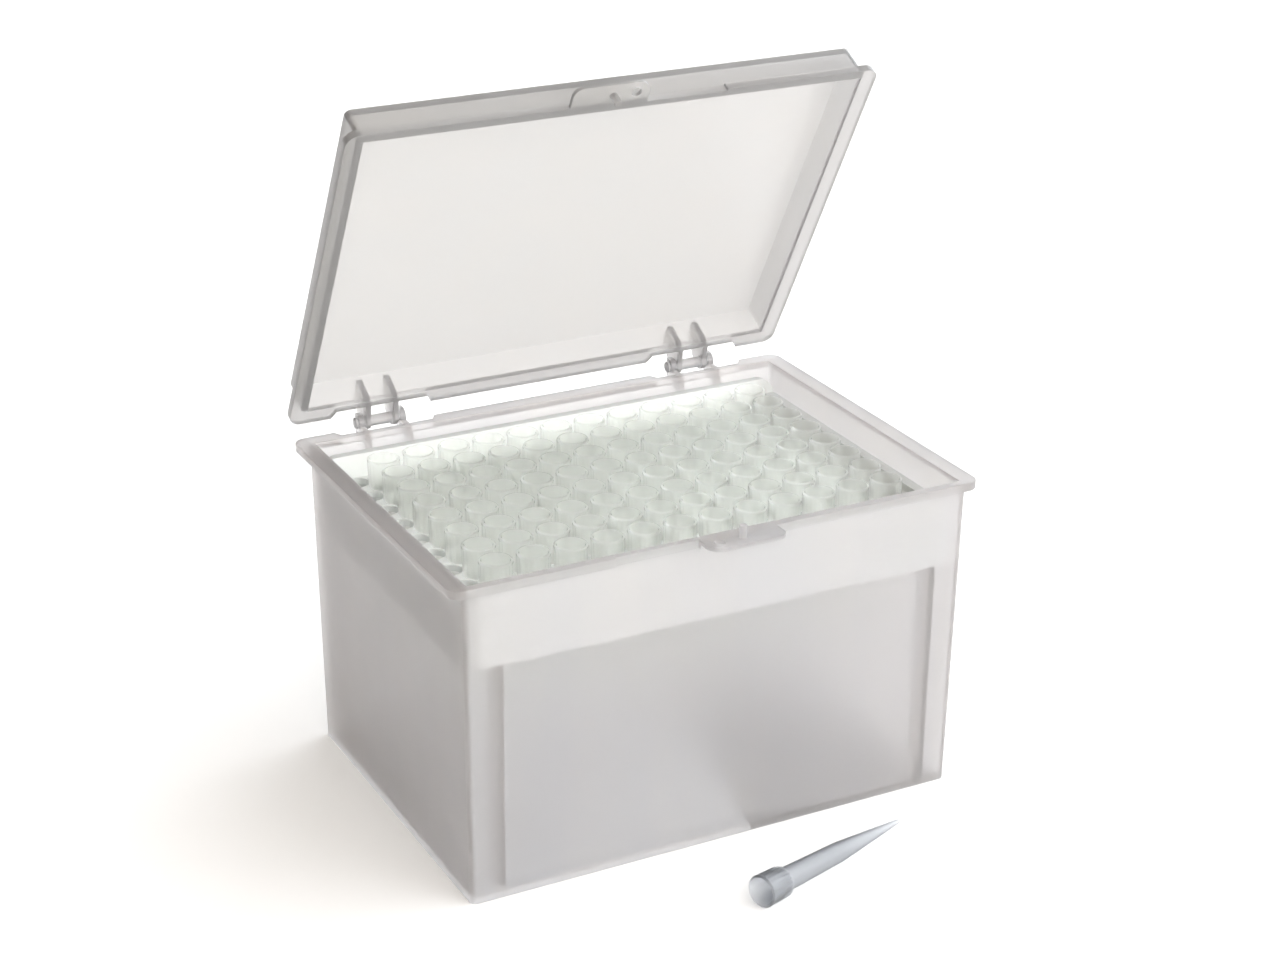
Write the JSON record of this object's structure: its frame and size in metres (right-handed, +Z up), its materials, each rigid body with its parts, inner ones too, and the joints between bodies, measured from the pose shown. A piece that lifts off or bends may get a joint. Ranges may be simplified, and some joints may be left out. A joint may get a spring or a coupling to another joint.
{
  "type": "pipette tip rack box",
  "caption": "Frosted plastic box with a hinged lid, open, holding a perforated tray full of upright pipette tips, with one tip lying in front of it.",
  "frame": {"origin": "middle of the underside of the box, on the surface that it stands on", "axes": "+X along the box to the right, +Y back to the hinges, +Z up"},
  "size_m": [0.1322, 0.1333, 0.1678],
  "materials": {
    "frosted_box": "frosted translucent polypropylene",
    "frosted_lid": "frosted translucent polypropylene",
    "white_tray": "opaque white polypropylene, satin",
    "clear_tips": "clear natural polypropylene, smooth"
  },
  "bodies": {
    "box": {"box_base": "frosted_box", "tip_tray": "white_tray", "tips_column_01": "clear_tips", "tips_column_02": "clear_tips", "tips_column_03": "clear_tips", "tips_column_04": "clear_tips", "tips_column_05": "clear_tips", "tips_column_06": "clear_tips", "tips_column_07": "clear_tips", "tips_column_08": "clear_tips", "tips_column_09": "clear_tips", "tips_column_10": "clear_tips", "tips_column_11": "clear_tips", "tips_column_12": "clear_tips", "loose_tip": "clear_tips"},
    "lid": {"lid": "frosted_lid"}
  },
  "joints": [
    {"name": "lid_hinge", "type": "hinge", "parent": "box", "child": "lid", "pos_m": [0, 0.0509, 0.0779], "axis": [-1, 0, 0], "range_deg": [-61, 119]}
  ]
}
